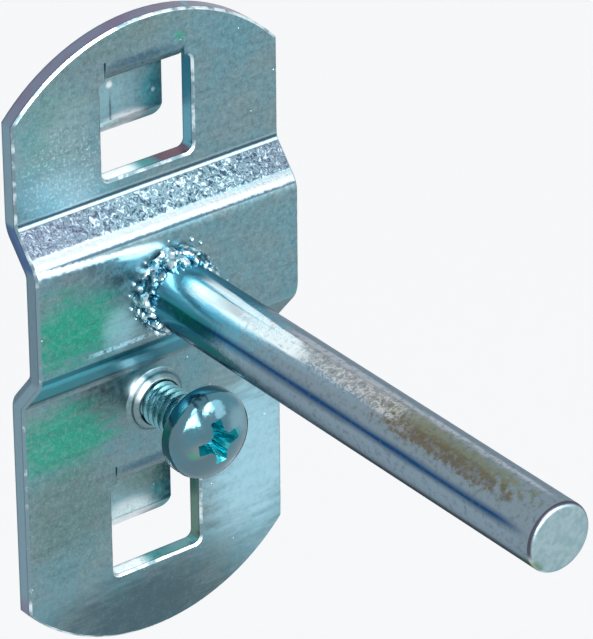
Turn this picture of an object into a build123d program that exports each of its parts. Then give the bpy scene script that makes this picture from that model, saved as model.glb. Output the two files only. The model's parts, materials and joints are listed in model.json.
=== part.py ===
# Tool holder for a perforated tool panel.
#
# A stamped, zinc-plated steel plate hangs on the panel by two lanced hook tongues. A round steel
# rod is welded square to the plate's raised middle, and a locking screw in a tapped collar stops
# the holder from being lifted off.
#
# Frame: +X right and +Z up as seen from the front, the rod points to -Y. The panel's front face is
# the plane Y = 0. The origin is where the upper hook's root crosses that plane, at mid width.

import os
from math import cos, pi, radians, sin, tan

from build123d import *

# Panel that the holder is made for
HOOK_PITCH = 38.0
PANEL_GAP = 2.0

# Stamped plate, which reaches above the upper hook and below the lower one
SHEET = 1.5
PLATE_WIDTH = 26.7
PLATE_TOP = 5.3
PLATE_FOOT = 15.1
END_RADIUS = 17.8
EDGE_BREAK = 0.2

# Raised middle of the plate, its height measured between the sharp corners of the front face,
# and its lift above the middle of the two hooks
RAISE = 2.75
RAISED_HEIGHT = 10.5
RAISED_LIFT = 0.6
STEP_ANGLE = 40.0
STEP_BEND = 0.9

# Hook windows and the tongues that are lanced out of them
WINDOW_WIDTH = 9.2
WINDOW_HEIGHT = 9.0
WINDOW_TOP = 0.5
WINDOW_CORNER = 0.7
TONGUE_RELIEF = 0.6
TONGUE_DROP = 6.3
TONGUE_CORNER = 0.8
ROOT_FALL = 16.0
HOOK_BEND = 0.7
LEAD_IN_HEIGHT = 1.1
LEAD_IN_DEPTH = 0.5

# Rod, a little below the raised middle's centre, and its weld
ROD_DIAMETER = 6.0
ROD_LENGTH = 50.0
ROD_DROP = 0.3
ROD_EDGE = 0.4
WELD_LEG = 1.1
WELD_HEIGHT = 1.8
WELD_BULGE = 0.15
WELD_PUDDLES = 6
PUDDLE_RADIUS = 1.0
PUDDLE_SPREAD = 0.1
PUDDLE_OUT = 0.25
PUDDLE_UP = 0.3

# Locking screw with a cross recess, and the tapped collar that it runs in
THREAD_DIAMETER = 4.0
THREAD_CLEARANCE = 0.05
THREAD_CHAMFER = 0.5
SCREW_LENGTH = 8.0
SCREW_ABOVE_HOOK = 7.5
SCREW_TIP_PROUD = 0.2
HEAD_DIAMETER = 8.0
HEAD_HEIGHT = 3.1
HEAD_DOME = 6.5
HEAD_EDGE = 1.2
HEAD_UNDERCUT = 0.25
CROSS_SPAN = 4.3
CROSS_ROOT_SPAN = 1.9
CROSS_WING = 1.0
CROSS_CORE = 2.2
CROSS_DEPTH = 2.2
CROSS_TURN = 7.0
COLLAR_WALL = 0.55
COLLAR_HEIGHT = 0.9
COLLAR_LIP = 0.35
COLLAR_ROOT = 0.3

# Least share of a face's normal that points forward for the face to count as a front one
FACING = 0.1

# Values that follow from the sizes above
FRONT_Y = -SHEET
RAISED_Y = FRONT_Y - RAISE
PLATE_BOTTOM = -HOOK_PITCH - PLATE_FOOT
RAISED_Z = -HOOK_PITCH / 2 + RAISED_LIFT
ROD_Z = RAISED_Z - ROD_DROP
SCREW_Z = -HOOK_PITCH + SCREW_ABOVE_HOOK
HOOKS = [0.0, -HOOK_PITCH]
TONGUE_WIDTH = WINDOW_WIDTH - 2 * TONGUE_RELIEF
BORE_RADIUS = THREAD_DIAMETER / 2 + THREAD_CLEARANCE
STEP_RUN = RAISE / tan(radians(STEP_ANGLE))
ROOT_SLOPE = tan(radians(ROOT_FALL))
OUTER_HOOK_BEND = HOOK_BEND + SHEET
HOOK_TURN = 90.0 - ROOT_FALL
BEND_START = SHEET * ROOT_SLOPE + OUTER_HOOK_BEND * tan(radians(HOOK_TURN / 2))
UPWARD = (Align.CENTER, Align.CENTER, Align.MIN)


def back_corners(points):
    """The sharp corners of a strip's back face, one sheet to the left of its front face."""
    corners = [Vector(*point) for point in points]
    runs = [(after - before).normalized() for before, after in zip(corners, corners[1:])]
    normals = [Vector(-run.Y, run.X) for run in runs]
    mitres = [(one + two) / (1 + one.dot(two)) for one, two in zip(normals, normals[1:])]
    shifts = [normals[0], *mitres, normals[-1]]
    return [corner + shift * SHEET for corner, shift in zip(corners, shifts)]


def sheet_strip(points, bend, width):
    """A bent strip of the plate's sheet.

    points are the sharp (y, z) corners of its front face from top to bottom, and bend is the
    radius inside each bend.
    """
    corners = [Vector(*point) for point in points]
    front_radii = []
    back_radii = []
    for before, corner, after in zip(corners, corners[1:], corners[2:]):
        turns_back = (corner - before).cross(after - corner).Z > 0
        front_radii.append(bend + SHEET if turns_back else bend)
        back_radii.append(bend if turns_back else bend + SHEET)
    radii = [0, *front_radii, 0, 0, *reversed(back_radii), 0]
    edge = FilletPolyline(*corners, *reversed(back_corners(points)), radius=radii, close=True)
    return extrude(Plane.YZ * make_face(edge), amount=width / 2, both=True)


def plate_strip():
    """The plate's hat section: two pads on the panel and a raised middle between sloped steps."""
    half = RAISED_HEIGHT / 2
    points = [
        (FRONT_Y, PLATE_TOP + SHEET),
        (FRONT_Y, RAISED_Z + half + STEP_RUN),
        (RAISED_Y, RAISED_Z + half),
        (RAISED_Y, RAISED_Z - half),
        (FRONT_Y, RAISED_Z - half - STEP_RUN),
        (FRONT_Y, PLATE_BOTTOM - SHEET),
    ]
    return sheet_strip(points, STEP_BEND, PLATE_WIDTH)


def plate_outline():
    """A prism of the plate's outline: straight sides and arc ends, through the whole raise."""
    half = PLATE_WIDTH / 2
    rise = END_RADIUS - (END_RADIUS**2 - half**2) ** 0.5
    top_corner = PLATE_TOP - rise
    bottom_corner = PLATE_BOTTOM + rise
    edge = Polyline((-half, top_corner), (-half, bottom_corner))
    edge += ThreePointArc((-half, bottom_corner), (0, PLATE_BOTTOM), (half, bottom_corner))
    edge += Polyline((half, bottom_corner), (half, top_corner))
    edge += ThreePointArc((half, top_corner), (0, PLATE_TOP), (-half, top_corner))
    outline = Plane.XZ * make_face(edge)
    return extrude(outline, amount=RAISE + 2 * SHEET, both=True)


def hook_window():
    """A cutter for one window with rounded corners, and for the bend of its tongue above it."""
    opening = RectangleRounded(WINDOW_WIDTH, WINDOW_HEIGHT, WINDOW_CORNER)
    opening = Pos(0, WINDOW_TOP - WINDOW_HEIGHT / 2) * opening
    slot_height = BEND_START - WINDOW_TOP + WINDOW_CORNER
    slot = Pos(0, BEND_START - slot_height / 2) * Rectangle(TONGUE_WIDTH, slot_height)
    return extrude(Plane.XZ * (opening + slot), amount=2 * SHEET, both=True)


def hook_tongue():
    """One tongue: it leaves the plate above its window, passes the panel and hangs down behind it."""
    points = [
        (FRONT_Y, BEND_START + HOOK_BEND),
        (FRONT_Y, SHEET * ROOT_SLOPE),
        (PANEL_GAP, -PANEL_GAP * ROOT_SLOPE),
        (PANEL_GAP, -TONGUE_DROP),
    ]
    tongue = sheet_strip(points, HOOK_BEND, TONGUE_WIDTH)
    tip_corners = tongue.edges().filter_by(Axis.Y).group_by(Axis.Z)[0]
    tongue = fillet(tip_corners, TONGUE_CORNER)
    lead_in = Plane.YZ * make_face(
        Polyline(
            (PANEL_GAP, -TONGUE_DROP),
            (PANEL_GAP + LEAD_IN_DEPTH, -TONGUE_DROP),
            (PANEL_GAP, -TONGUE_DROP + LEAD_IN_HEIGHT),
            close=True,
        )
    )
    return tongue - extrude(lead_in, amount=TONGUE_WIDTH, both=True)


def screw_place(y):
    """A plane across the screw's axis at a given Y, whose normal points the way the screw drives in."""
    return Plane(origin=(0, y, SCREW_Z), x_dir=(1, 0, 0), z_dir=(0, 1, 0))


def front_rim(plate):
    """The edges that bound the plate's front face, outside and in its windows."""
    front = plate.faces().filter_by(lambda face: face.normal_at().Y < -FACING)
    edges = [edge for face in front for edge in face.edges()]
    return ShapeList(edge for edge in edges if edges.count(edge) == 1)


def collar():
    """The lip drawn out of the lower pad round the screw, rooted inside the sheet."""
    radius = BORE_RADIUS + COLLAR_WALL
    foot = radius + 2 * COLLAR_ROOT
    edge = Polyline(
        (0, SHEET / 2),
        (foot, SHEET / 2),
        (foot, 0),
        (radius + COLLAR_ROOT, 0),
        (radius, -COLLAR_ROOT),
        (radius, -COLLAR_HEIGHT + COLLAR_LIP),
        (radius - COLLAR_LIP, -COLLAR_HEIGHT),
        (0, -COLLAR_HEIGHT),
        close=True,
    )
    lip = revolve(Plane.XZ * make_face(edge), Axis.Z)
    return screw_place(FRONT_Y) * lip


def mounting_plate():
    """The stamped plate with its windows, tongues and tapped collar."""
    plate = plate_strip() & plate_outline()
    for z in HOOKS:
        plate -= Pos(0, 0, z) * hook_window()
    plate = chamfer(front_rim(plate), EDGE_BREAK)
    for z in HOOKS:
        plate += Pos(0, 0, z) * hook_tongue()
    plate += collar()
    bore = Cylinder(BORE_RADIUS, 2 * (SHEET + COLLAR_HEIGHT))
    return plate - screw_place(FRONT_Y) * bore


def rod_place(y):
    """A plane across the rod's axis at a given Y, whose normal points to the rod's free end."""
    return Plane(origin=(0, y, ROD_Z), x_dir=(1, 0, 0), z_dir=(0, -1, 0))


def rod_bar():
    """The straight rod along +Z: its root is bevelled for the weld, and its free end's edge is broken."""
    bar = Cylinder(ROD_DIAMETER / 2, ROD_LENGTH, align=UPWARD)
    bar = chamfer(bar.edges().group_by(Axis.Z)[0], WELD_HEIGHT)
    return chamfer(bar.edges().group_by(Axis.Z)[-1], ROD_EDGE)


def rod():
    """The rod in its place on the raised middle."""
    return rod_place(RAISED_Y) * rod_bar()


def weld_bead():
    """The weld that fills the bevel at the rod's root: a bulging ring with uneven puddles along it."""
    inner = ROD_DIAMETER / 2
    outer = inner + WELD_LEG
    root = inner - WELD_HEIGHT
    middle = (inner + WELD_LEG / 2 + WELD_BULGE, WELD_HEIGHT / 2 + WELD_BULGE)
    edge = Polyline((inner, WELD_HEIGHT), (root, 0), (outer, 0), middle, close=True)
    bead = revolve(Plane.XZ * make_face(edge), Axis.Z)
    for number in range(WELD_PUDDLES):
        turn = 2 * pi * number / WELD_PUDDLES
        radius = PUDDLE_RADIUS + PUDDLE_SPREAD * sin(5 * number)
        reach = inner + PUDDLE_OUT
        bead += Pos(reach * cos(turn), reach * sin(turn), PUDDLE_UP) * Sphere(radius)
    above = WELD_LEG + WELD_HEIGHT
    bead &= Cylinder(outer + WELD_LEG, above, align=UPWARD)
    return rod_place(RAISED_Y) * (bead - rod_bar())


def cross_recess():
    """A cutter for the cross recess, turned anticlockwise as seen on the head it is sunk into."""
    cone = Cone(CROSS_SPAN / 2, CROSS_ROOT_SPAN / 2, CROSS_DEPTH, align=UPWARD)
    wing = Box(CROSS_SPAN, CROSS_WING, CROSS_DEPTH, align=UPWARD)
    core = Cone(CROSS_CORE / 2, CROSS_WING / 2, CROSS_DEPTH, align=UPWARD)
    cross = wing + Rot(0, 0, 90) * wing + core
    return Rot(0, 0, -CROSS_TURN) * (cross & cone)


def locking_screw():
    """The pan-head screw, backed out of its collar as in the photograph, with a plain shank."""
    rim = HEAD_DIAMETER / 2
    shank = THREAD_DIAMETER / 2
    dome_rim = -HEAD_HEIGHT + HEAD_DOME - (HEAD_DOME**2 - rim**2) ** 0.5
    half_rim = rim / 2
    dome_half = -HEAD_HEIGHT + HEAD_DOME - (HEAD_DOME**2 - half_rim**2) ** 0.5
    edge = Polyline(
        (rim, dome_rim),
        (rim, -HEAD_UNDERCUT),
        (rim - HEAD_UNDERCUT, 0),
        (shank, 0),
        (shank, SCREW_LENGTH - THREAD_CHAMFER),
        (shank - THREAD_CHAMFER, SCREW_LENGTH),
        (0, SCREW_LENGTH),
        (0, -HEAD_HEIGHT),
    )
    edge += ThreePointArc((0, -HEAD_HEIGHT), (half_rim, dome_half), (rim, dome_rim))
    section = make_face(edge)
    shoulder = section.vertices().sort_by_distance((rim, dome_rim))[0]
    section = fillet(shoulder, HEAD_EDGE)
    screw = revolve(Plane.XZ * section, Axis.Z)
    screw -= Pos(0, 0, -HEAD_HEIGHT) * cross_recess()
    return screw_place(SCREW_TIP_PROUD - SCREW_LENGTH) * screw


os.makedirs("parts", exist_ok=True)
export_step(mounting_plate(), "parts/mounting_plate.step")
export_step(rod(), "parts/rod.step")
export_step(weld_bead(), "parts/weld_bead.step")
export_step(locking_screw(), "parts/locking_screw.step")
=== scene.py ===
# %% [markdown]
# # A zinc-plated tool holder
# This holder hangs on a perforated tool panel. A stamped plate carries a welded rod, and a locking
# screw stops the plate from being lifted off its hooks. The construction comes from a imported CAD
# frame, in metres, and this file dresses that frame: it makes the visible meshes, their finishes,
# the studio and the camera. Every cell prints what it made.

# %% Load the frame
import json
from math import atan2, cos, degrees, hypot, pi, radians, sin

import bmesh
import bpy
from mathutils import Color, Matrix, Quaternion, Vector, noise


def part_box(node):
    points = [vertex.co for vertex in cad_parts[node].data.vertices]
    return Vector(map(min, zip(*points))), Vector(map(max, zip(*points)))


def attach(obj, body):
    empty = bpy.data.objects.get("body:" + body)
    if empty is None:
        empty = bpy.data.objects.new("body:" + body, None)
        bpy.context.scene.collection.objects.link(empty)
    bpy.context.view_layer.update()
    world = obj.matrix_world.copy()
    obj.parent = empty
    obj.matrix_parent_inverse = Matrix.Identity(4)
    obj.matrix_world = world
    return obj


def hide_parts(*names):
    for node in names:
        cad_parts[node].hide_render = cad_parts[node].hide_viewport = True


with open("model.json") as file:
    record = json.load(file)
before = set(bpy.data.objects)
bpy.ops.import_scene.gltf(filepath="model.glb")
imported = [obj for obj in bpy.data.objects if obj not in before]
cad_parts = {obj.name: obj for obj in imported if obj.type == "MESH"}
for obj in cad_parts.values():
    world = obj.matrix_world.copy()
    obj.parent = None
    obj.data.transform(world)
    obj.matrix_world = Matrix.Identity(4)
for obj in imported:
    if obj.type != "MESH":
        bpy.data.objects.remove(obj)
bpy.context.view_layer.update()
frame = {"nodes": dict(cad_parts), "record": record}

MM = 0.001

# %% [markdown]
# ## The camera
# The photograph was taken with a long lens, so parallel edges stay almost parallel. The camera stands
# to the left of the rod and above it. Its turn, rise, roll and distance were solved from the plate's
# edges, and the focal length is given in pixels of the photograph, which a sensor width turns into a
# lens. An empty for the camera to track would also work, but plain numbers are easier to check.

# %% Place the camera
PHOTO_WIDTH = 593
FOCAL_PIXELS = 5156.2
SENSOR_WIDTH = 36.0
CAMERA_TURN = radians(-37.298)
CAMERA_RISE = radians(29.368)
CAMERA_ROLL = radians(-0.485)
CAMERA_DISTANCE = 414.36 * MM
CAMERA_TARGET = Vector((1.027, -20.0, -15.058)) * MM


def direction(turn, rise):
    """A unit vector from the object: turn 0 is to the front, and a positive turn goes to the right."""
    return Vector((sin(turn) * cos(rise), -cos(turn) * cos(rise), sin(rise)))


lens = bpy.data.cameras.new("photo_camera")
lens.sensor_fit = "HORIZONTAL"
lens.sensor_width = SENSOR_WIDTH
lens.lens = FOCAL_PIXELS / PHOTO_WIDTH * SENSOR_WIDTH
camera = bpy.data.objects.new("photo_camera", lens)
towards_camera = direction(CAMERA_TURN, CAMERA_RISE)
camera.location = CAMERA_TARGET + CAMERA_DISTANCE * towards_camera
camera.rotation_mode = "QUATERNION"
roll = Quaternion((0, 0, 1), CAMERA_ROLL)
camera.rotation_quaternion = (-towards_camera).to_track_quat("-Z", "Y") @ roll
bpy.context.scene.collection.objects.link(camera)
bpy.context.scene.camera = camera
print("camera lens", round(lens.lens, 1), "mm")

# %% [markdown]
# ## Helpers for the meshes
# Every round piece here turns about a line that runs front to back, so one helper spins a profile
# about such a line. The profile is a short chain of points: how far each is from the axis, and how
# far along it. Spinning leaves a double vertex at the seam and at each pole, so these are merged
# before the normals are worked out. Another helper gives the points of an arc for such a profile. The
# last two turn a finished mesh into an object, and into a piece that stands for a CAD node.

# %% Mesh helpers
MERGE = 0.0005 * MM
SMOOTH_UNDER = radians(32)
FORWARD = Vector((0, 1, 0))


def soften(bm, edges, width, steps):
    """Rounds sharp edges with a narrow bevel."""
    bmesh.ops.bevel(
        bm,
        geom=edges,
        offset=width,
        offset_type="OFFSET",
        affect="EDGES",
        segments=steps,
        profile=0.5,
        material=-1,
        clamp_overlap=True,
    )


def arc(centre, radius, start, stop, count):
    """Points on an arc of a profile, from one angle to another, where 0 points away from the axis."""
    turns = [start + (stop - start) * step / (count - 1) for step in range(count)]
    return [(centre[0] + radius * cos(turn), centre[1] + radius * sin(turn)) for turn in turns]


def lathe(profile, height, steps, closed=False):
    """A mesh spun from (distance from axis, place along Y) points about an axis at a given height."""
    bm = bmesh.new()
    chain = [bm.verts.new((out, along, height)) for out, along in profile]
    ends = chain[1:] + chain[:1] if closed else chain[1:]
    edges = [bm.edges.new(pair) for pair in zip(chain, ends)]
    axis_point = Vector((0, 0, height))
    bmesh.ops.spin(
        bm,
        geom=[*chain, *edges],
        cent=axis_point,
        axis=FORWARD,
        angle=2 * pi,
        steps=steps,
        use_merge=True,
    )
    bmesh.ops.remove_doubles(bm, verts=bm.verts, dist=MERGE)
    bmesh.ops.recalc_face_normals(bm, faces=bm.faces)
    return bm


def place_mesh(name, bm):
    """Turns a finished mesh into an object in the scene."""
    mesh = bpy.data.meshes.new(name)
    bm.to_mesh(mesh)
    bm.free()
    placed = bpy.data.objects.new(name, mesh)
    bpy.context.scene.collection.objects.link(placed)
    return placed


def make_piece(name, bm, body, node):
    """Turns a mesh into an object that stands for a CAD node and moves with a body."""
    piece = place_mesh(name, bm)
    mesh = piece.data
    mesh.shade_smooth()
    mesh.set_sharp_from_angle(angle=SMOOTH_UNDER)
    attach(piece, body)
    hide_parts(node)
    print(name, "has", len(mesh.vertices), "vertices and", len(mesh.polygons), "faces")
    return piece


print("mesh helpers ready")

# %% [markdown]
# ## The stamped plate
# The real plate is blanked from sheet, lanced and bent in a press. Its front edge is rolled over by
# the die, and its sides are sheared. The CAD node already has the true outline, bends, windows and
# tongues, so the mesh is a copy of it. The copy arrives as loose triangles: they are merged, flat
# areas are dissolved into single faces, and each sharp edge gets a small bevel, so that it catches a
# line of light as the real edge does. The drawn collar of the screw gets a wider rounding. Face
# attributes remember which faces are the rolled rim, the sheared walls and the rubbed tips of the
# tongues, because those wear a different finish.

# %% Copy the plate
FLAT_ANGLE = radians(0.5)

screw_low, screw_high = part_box("locking_screw")
SCREW_HEIGHT = (screw_high.z + screw_low.z) / 2
hooks = [mount["pos_m"][2] for mount in frame["record"]["mounts"] if mount["name"].endswith("_hook")]
plate_bm = bmesh.new()
plate_bm.from_mesh(frame["nodes"]["mounting_plate"].data)
bmesh.ops.remove_doubles(plate_bm, verts=plate_bm.verts, dist=MERGE)
bmesh.ops.dissolve_limit(plate_bm, angle_limit=FLAT_ANGLE, verts=plate_bm.verts, edges=plate_bm.edges)
plate_bm.normal_update()
print("plate copied with", len(plate_bm.faces), "faces, hooks at", hooks)

# %% Mark the plate's rims, walls and tips
SHEET = 1.5 * MM
SLANT_LOW = 0.5
SLANT_HIGH = 0.9
TONGUE_REACH = 4.3 * MM
TONGUE_TOP = 2.6 * MM
TONGUE_TIP = -7.2 * MM
TIP_FRONT = 1.9 * MM
TIP_SLANT = 0.3
COLLAR_REACH = 3.6 * MM


def on_tongue(point):
    """Whether a point lies on a tongue or beside the bend that carries it."""
    return abs(point.x) < TONGUE_REACH and any(TONGUE_TIP < point.z - hook < TONGUE_TOP for hook in hooks)


def on_collar(point):
    """Whether a point lies on the drawn collar round the screw."""
    return hypot(point.x, point.z - SCREW_HEIGHT) < COLLAR_REACH


rim_layer = plate_bm.faces.layers.float.new("rolled_rim")
wall_layer = plate_bm.faces.layers.float.new("sheared_wall")
tip_layer = plate_bm.faces.layers.float.new("rubbed_tip")
for face in plate_bm.faces:
    side = hypot(face.normal.x, face.normal.z)
    middle = face.calc_center_median()
    in_sheet = -SHEET < middle.y < 0
    slanted = SLANT_LOW < -face.normal.y < SLANT_HIGH
    on_side = abs(face.normal.x) > SLANT_LOW
    cut_edge = not on_tongue(middle) and not on_collar(middle)
    sheared = abs(face.normal.x) > SLANT_HIGH or (in_sheet and side > SLANT_HIGH)
    faces_down = -face.normal.y > SLANT_LOW and -face.normal.z > TIP_SLANT
    face[rim_layer] = float(cut_edge and slanted and (in_sheet or on_side))
    face[wall_layer] = float(cut_edge and sheared)
    face[tip_layer] = float(on_tongue(middle) and middle.y > TIP_FRONT and faces_down)
for layer in (rim_layer, wall_layer, tip_layer):
    print("marked", sum(face[layer] > 0 for face in plate_bm.faces), "faces")

# %% Soften the plate
SHARP_ANGLE = radians(30)
EDGE_ROUNDING = 0.06 * MM
ROUNDING_STEPS = 2
COLLAR_ROUNDING = 0.2 * MM
COLLAR_STEPS = 4

sharp = [edge for edge in plate_bm.edges if edge.calc_face_angle(0) > SHARP_ANGLE]
front_ring = [edge for edge in sharp if all(on_collar(vert.co) and vert.co.y < 0 for vert in edge.verts)]
others = [edge for edge in sharp if edge not in front_ring]
soften(plate_bm, front_ring, COLLAR_ROUNDING, COLLAR_STEPS)
soften(plate_bm, [edge for edge in others if edge.is_valid], EDGE_ROUNDING, ROUNDING_STEPS)
print("softened", len(sharp), "edges of the plate,", len(front_ring), "of them on the collar")
plate = make_piece("stamped_plate", plate_bm, "holder", "mounting_plate")
even_normals = plate.modifiers.new("even_normals", "WEIGHTED_NORMAL")
even_normals.keep_sharp = True

# %% [markdown]
# ## The rod
# The rod is cut from drawn bar. Its free end has a softly broken edge and a face that is almost flat.
# A profile spun about the rod's axis gives it a clean round surface, finer than the frame's mesh.

# %% Spin the rod
ROD_STEPS = 96
ROD_EDGE = 0.45 * MM
ROD_EDGE_POINTS = 8
END_DISH = 0.04 * MM

rod_low, rod_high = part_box("rod")
ROD_RADIUS = (rod_high.x - rod_low.x) / 2
ROD_HEIGHT = (rod_high.z + rod_low.z) / 2
edge_centre = (ROD_RADIUS - ROD_EDGE, rod_low.y + ROD_EDGE)
rod_profile = [
    (0, rod_high.y),
    (ROD_RADIUS, rod_high.y),
    *arc(edge_centre, ROD_EDGE, 0, -pi / 2, ROD_EDGE_POINTS),
    (0, rod_low.y + END_DISH),
]
rod_bm = lathe(rod_profile, ROD_HEIGHT, ROD_STEPS)
rod = make_piece("hanging_rod", rod_bm, "holder", "rod")

# %% [markdown]
# ## The weld
# The rod is welded all round by hand. The bead is a fine ring of lumps and pinholes, a little wider at
# the right than at the top, and a few drops of spatter sit on the plate. The ring is spun as a quarter
# round, and each vertex is then pushed in or out from the corner between rod and plate, by the ripple
# of the puddles and by noise. The same noise, kept as a vertex attribute, later tells the finish
# which spots are crests and which are hollows. A sculpted mesh could do the same, but a formula keeps
# it the same on every run.

# %% Build the weld
WELD_STEPS = 260
WELD_ARC_POINTS = 18
WELD_SINK = 0.12 * MM
WELD_LEG = 0.85 * MM
WELD_CLIMB = 1.75 * MM
WELD_RIGHT_GAIN = 0.14
WELD_LEAST = 0.72
PUDDLES = 13
PUDDLE_RIPPLE = 0.08
LUMP_SIZE = 0.55 * MM
LUMP_SHARE = 0.42
GRIT_SIZE = 0.26 * MM
GRIT_SHARE = 0.16

corner_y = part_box("weld_bead")[1].y
bead_arc = arc((0, 0), 1.0, 0, -pi / 2, WELD_ARC_POINTS)
bead_profile = [
    (ROD_RADIUS - WELD_SINK, corner_y + WELD_SINK),
    *[(ROD_RADIUS + out * WELD_LEG, corner_y + along * WELD_CLIMB) for out, along in bead_arc],
    (ROD_RADIUS - WELD_SINK, corner_y - WELD_CLIMB),
]
weld_bm = lathe(bead_profile, ROD_HEIGHT, WELD_STEPS, closed=True)
crest_layer = weld_bm.verts.layers.float.new("crest")
for vert in weld_bm.verts:
    turn = atan2(vert.co.z - ROD_HEIGHT, vert.co.x)
    out = hypot(vert.co.x, vert.co.z - ROD_HEIGHT) - ROD_RADIUS
    spot = Vector((ROD_RADIUS * cos(turn), vert.co.y, ROD_HEIGHT + ROD_RADIUS * sin(turn)))
    ripple = PUDDLE_RIPPLE * abs(sin(PUDDLES * turn / 2))
    lump = LUMP_SHARE * noise.noise(spot / LUMP_SIZE) + GRIT_SHARE * noise.noise(spot / GRIT_SIZE)
    vert[crest_layer] = lump
    swell = max(WELD_LEAST, 1 + WELD_RIGHT_GAIN * cos(turn) + ripple + lump)
    radius = ROD_RADIUS + (out * swell if out > 0 else out)
    vert.co.x = radius * cos(turn)
    vert.co.z = ROD_HEIGHT + radius * sin(turn)
    if vert.co.y < corner_y:
        vert.co.y = corner_y + (vert.co.y - corner_y) * swell
print("weld ring has", len(weld_bm.faces), "faces")

# %% Add the spatter
# Drops count as crests, so the finish gives them the painted glint too.
SPATTER_CREST = 0.3
SPATTER_DETAIL = 2
SPATTER = [
    (60, 4.45, 0.24),
    (46, 4.5, 0.17),
    (5, 4.4, 0.2),
    (92, 4.5, 0.12),
    (128, 4.15, 0.16),
    (156, 4.1, 0.22),
    (170, 4.3, 0.13),
    (188, 4.1, 0.2),
    (204, 4.0, 0.15),
    (300, 4.1, 0.1),
]

for turn, reach, size in SPATTER:
    spot = Vector((reach * cos(radians(turn)) * MM, corner_y, ROD_HEIGHT + reach * sin(radians(turn)) * MM))
    place = Matrix.Translation(spot)
    drop = bmesh.ops.create_icosphere(weld_bm, subdivisions=SPATTER_DETAIL, radius=size * MM, matrix=place)
    for vert in drop["verts"]:
        vert[crest_layer] = SPATTER_CREST
bmesh.ops.recalc_face_normals(weld_bm, faces=weld_bm.faces)
print("added", len(SPATTER), "drops of spatter")
weld = make_piece("root_weld", weld_bm, "holder", "weld_bead")

# %% [markdown]
# ## The locking screw
# The screw is a small pan head with a cross recess and a rolled thread. The thread is one pitch of
# its section, spun with a step along the axis, so that each turn meets the next one: merging the
# doubles then leaves one continuous helix. Two planes trim its ends, and the end loop is bridged to
# the underside of the head. The recess is cut with a tapered cross, which is a block whose four sides
# are extruded, and a cone for its middle.

# %% Spin the thread
PITCH = 0.7 * MM
THREAD_DEPTH = 0.42 * MM
CREST = PITCH / 8
ROOT = PITCH / 4
TURN_STEPS = 40
THREAD_ROUNDING = 0.05 * MM
THREAD_RADIUS = 1.98 * MM
SCREW_LENGTH = 8.0 * MM
SPARE_TURNS = 2

tip_y = screw_high.y
under_head_y = tip_y - SCREW_LENGTH
root_radius = THREAD_RADIUS - THREAD_DEPTH
flank = (PITCH - CREST - ROOT) / 2
start_y = under_head_y - SPARE_TURNS * PITCH
tooth = [
    (THREAD_RADIUS, 0),
    (THREAD_RADIUS, CREST / 2),
    (root_radius, CREST / 2 + flank),
    (root_radius, CREST / 2 + flank + ROOT),
    (THREAD_RADIUS, PITCH - CREST / 2),
    (THREAD_RADIUS, PITCH),
]
turns = int((tip_y - start_y) / PITCH) + SPARE_TURNS
screw_bm = bmesh.new()
tooth_verts = [screw_bm.verts.new((out, start_y + along, SCREW_HEIGHT)) for out, along in tooth]
for pair in zip(tooth_verts, tooth_verts[1:]):
    screw_bm.edges.new(pair)
bmesh.ops.bevel(
    screw_bm,
    geom=tooth_verts[1:-1],
    offset=THREAD_ROUNDING,
    offset_type="OFFSET",
    affect="VERTICES",
    segments=ROUNDING_STEPS,
    profile=0.5,
    material=-1,
)
bmesh.ops.spin(
    screw_bm,
    geom=[*screw_bm.verts, *screw_bm.edges],
    cent=(0, 0, SCREW_HEIGHT),
    axis=FORWARD,
    dvec=FORWARD * PITCH / TURN_STEPS,
    angle=2 * pi * turns,
    steps=TURN_STEPS * turns,
)
bmesh.ops.remove_doubles(screw_bm, verts=screw_bm.verts, dist=MERGE)
print("thread of", turns, "turns with", len(screw_bm.faces), "faces")

# %% Trim the thread
TIP_TAPER = 0.5 * MM

for cut_y, outward in ((under_head_y, -FORWARD), (tip_y, FORWARD)):
    bmesh.ops.bisect_plane(
        screw_bm,
        geom=[*screw_bm.verts, *screw_bm.edges, *screw_bm.faces],
        dist=MERGE,
        plane_co=(0, cut_y, SCREW_HEIGHT),
        plane_no=outward,
        clear_outer=True,
    )
for vert in screw_bm.verts:
    out = Vector((vert.co.x, 0, vert.co.z - SCREW_HEIGHT))
    limit = THREAD_RADIUS - max(0, vert.co.y - tip_y + TIP_TAPER)
    if out.length > limit:
        vert.co -= out * (1 - limit / out.length)
print("thread trimmed to", len(screw_bm.faces), "faces")

# %% Add the head
HEAD_HEIGHT = 3.1 * MM
HEAD_RADIUS = (screw_high.x - screw_low.x) / 2
DOME_RADIUS = 6.5 * MM
DOME_POINTS = 14
RIM_ROUNDING = 1.2 * MM
RIM_POINTS = 10
UNDER_EDGE = 0.25 * MM
UNDER_POINTS = 5
NECK_RADIUS = 2.3 * MM
HEAD_STEPS = 80

top_y = under_head_y - HEAD_HEIGHT
dome_centre = (0, top_y + DOME_RADIUS)
rim_out = HEAD_RADIUS - RIM_ROUNDING
rim_drop = ((DOME_RADIUS - RIM_ROUNDING) ** 2 - rim_out**2) ** 0.5
rim_centre = (rim_out, dome_centre[1] - rim_drop)
meeting = atan2(-rim_drop, rim_out)
under_centre = (HEAD_RADIUS - UNDER_EDGE, under_head_y - UNDER_EDGE)
head_profile = [
    *arc(dome_centre, DOME_RADIUS, -pi / 2, meeting, DOME_POINTS),
    *arc(rim_centre, RIM_ROUNDING, meeting, 0, RIM_POINTS)[1:],
    *arc(under_centre, UNDER_EDGE, 0, pi / 2, UNDER_POINTS),
    (NECK_RADIUS, under_head_y),
]
head_bm = lathe(head_profile, SCREW_HEIGHT, HEAD_STEPS)
head_mesh = bpy.data.meshes.new("head")
head_bm.to_mesh(head_mesh)
head_bm.free()
screw_bm.from_mesh(head_mesh)
bpy.data.meshes.remove(head_mesh)
open_edges = [edge for edge in screw_bm.edges if edge.is_boundary]
neck_edges = [edge for edge in open_edges if edge.verts[0].co.y < under_head_y + PITCH]
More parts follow.
